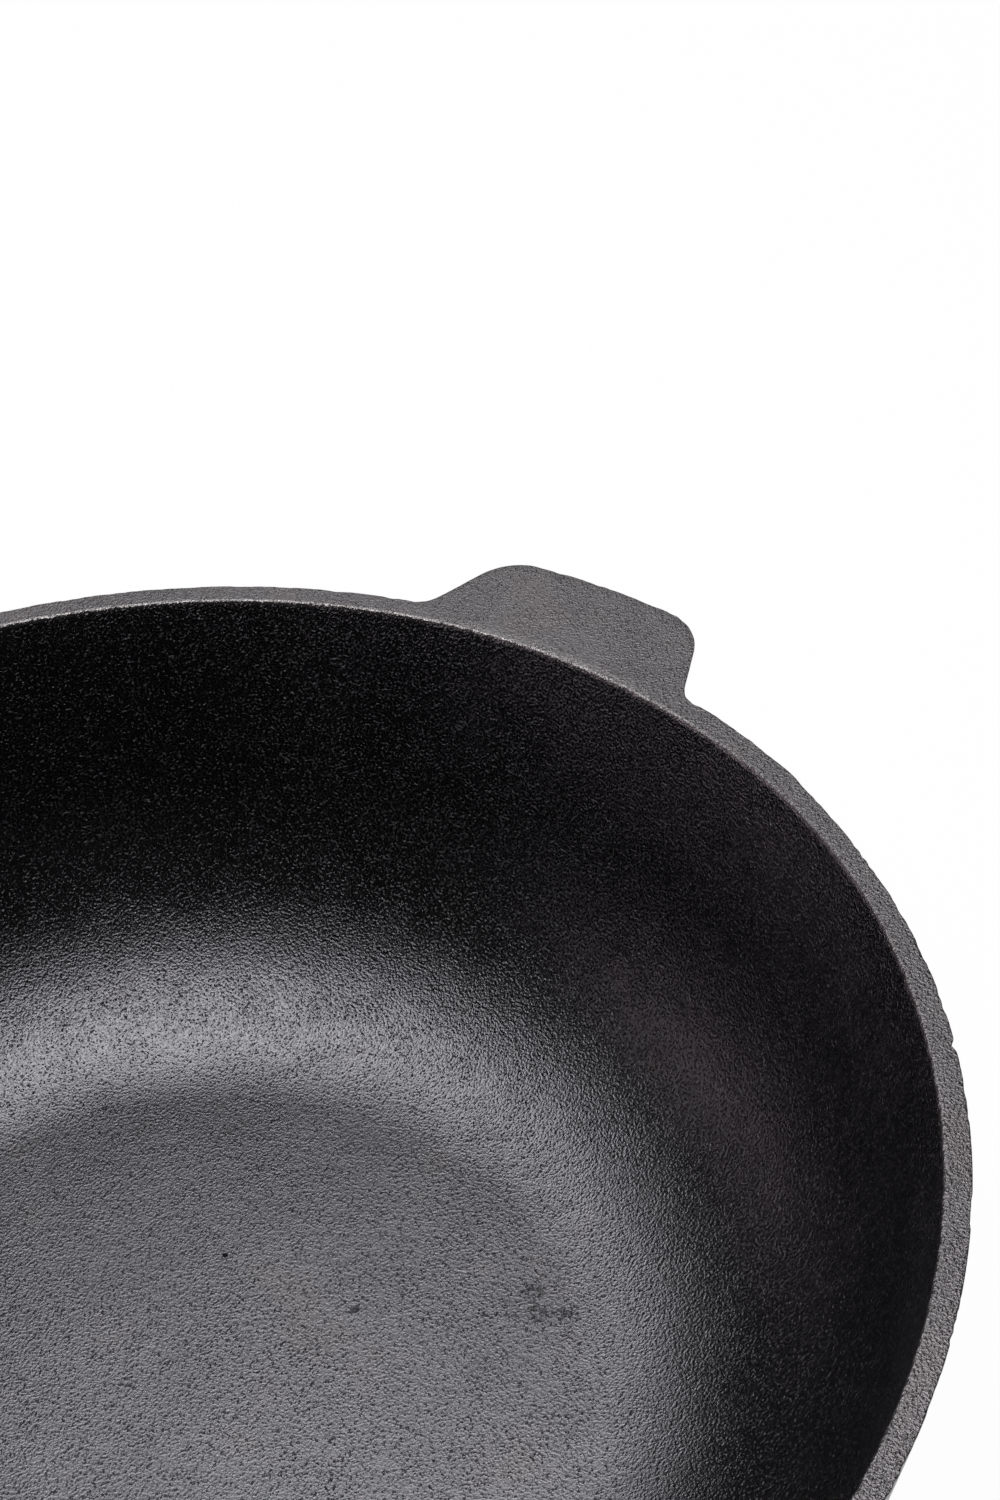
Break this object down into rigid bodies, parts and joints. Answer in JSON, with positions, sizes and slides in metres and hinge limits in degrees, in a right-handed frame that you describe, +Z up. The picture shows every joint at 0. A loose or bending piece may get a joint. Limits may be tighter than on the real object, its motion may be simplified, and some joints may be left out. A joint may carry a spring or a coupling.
{
  "type": "saucepan",
  "caption": "Deep round cast iron saucepan with a flat floor, a wide rounded heel, a leaning wall, a flat rim and short solid ears flush with the rim for lifting.",
  "frame": {"origin": "centre of the flat standing face", "axes": "+Z up along the pan's axis, +X through the right-hand ear, +Y towards the back of the rim"},
  "size_m": [0.314, 0.28, 0.082],
  "materials": {
    "cooking_iron": "seasoned near-black iron with a dull, sand-cast grain and a soft metallic sheen",
    "rim_iron": "seasoned iron, lightly ground, with finer grain and a worn bright inner edge"
  },
  "bodies": {
    "root": {"base_disc": "cooking_iron", "heel_ring": "cooking_iron", "side_wall": "cooking_iron", "rim_back": "rim_iron", "rim_front": "rim_iron", "ear_right": "rim_iron", "ear_left": "rim_iron"}
  },
  "joints": []
}
